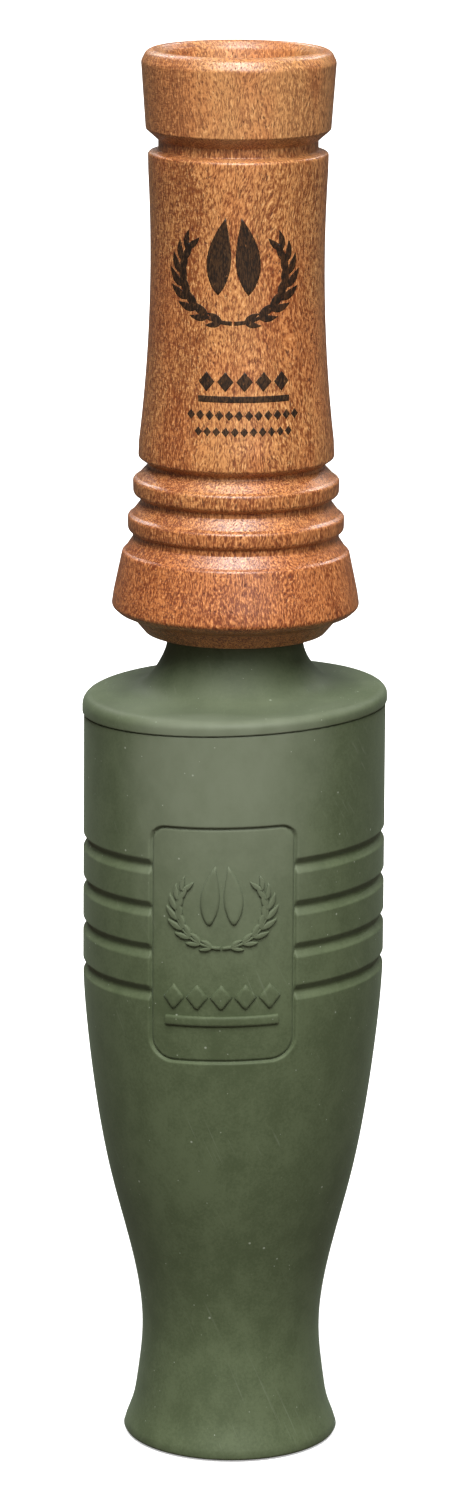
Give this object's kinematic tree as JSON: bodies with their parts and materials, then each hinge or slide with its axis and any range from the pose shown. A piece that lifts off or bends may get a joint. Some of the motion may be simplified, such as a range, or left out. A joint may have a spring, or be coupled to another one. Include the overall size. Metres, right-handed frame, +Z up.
{
  "type": "grunt tube call",
  "caption": "Game grunt call: turned wood mouthpiece barrel on a pull-out reed insert, over a rubber neck cap and a waisted rubber sounding bell.",
  "frame": {"origin": "centre of the bell's open mouth, in the plane that the call stands on", "axes": "+Z up along the call's axis towards the mouthpiece; -Y is the front, with the moulded panel; +X to the right seen from the front"},
  "size_m": [0.0456, 0.0456, 0.2125],
  "materials": {
    "turned_wood": "reddish-brown hardwood with fine golden fleck, satin lacquer",
    "olive_rubber": "moulded matte olive rubber",
    "sleeve_plastic": "moulded satin black plastic",
    "seal_rubber": "black O-ring rubber",
    "tone_board_plastic": "moulded ivory plastic",
    "reed_film": "frosted clear film",
    "wedge_cork": "fine-grained cork"
  },
  "bodies": {
    "bell": {"bell": "olive_rubber"},
    "neck_cap": {"neck_cap": "olive_rubber"},
    "insert": {"reed_sleeve": "sleeve_plastic"},
    "seals": {"o_ring_lower": "seal_rubber", "o_ring_upper": "seal_rubber"},
    "barrel": {"barrel": "turned_wood"},
    "tone_board": {"tone_board": "tone_board_plastic"},
    "wedge": {"reed_wedge": "wedge_cork"},
    "reed": {"reed": "reed_film"}
  },
  "joints": [
    {"name": "cap_pull", "type": "slide", "parent": "bell", "child": "neck_cap", "axis": [0, 0, 1], "range_m": [0, 0.012]},
    {"name": "insert_pull", "type": "slide", "parent": "neck_cap", "child": "insert", "axis": [0, 0, 1], "range_m": [0, 0.018]},
    {"name": "barrel_twist", "type": "hinge", "parent": "insert", "child": "seals", "pos_m": [0, 0, 0.1375], "axis": [0, 0, 1], "continuous": true},
    {"name": "barrel_pull", "type": "slide", "parent": "seals", "child": "barrel", "axis": [0, 0, 1], "range_m": [0, 0.075]},
    {"name": "tone_board_pull", "type": "slide", "parent": "insert", "child": "tone_board", "axis": [0, 0, 1], "range_m": [0, 0.014]},
    {"name": "wedge_pull", "type": "slide", "parent": "tone_board", "child": "wedge", "axis": [0, 0, 1], "range_m": [0, 0.012]},
    {"name": "reed_flutter", "type": "hinge", "parent": "tone_board", "child": "reed", "pos_m": [0, -0.00102, 0.158], "axis": [1, 0, 0], "range_deg": [-1.7, 1], "stiffness_Nm_per_rad": 0.004, "deforming": ["reed"]}
  ]
}
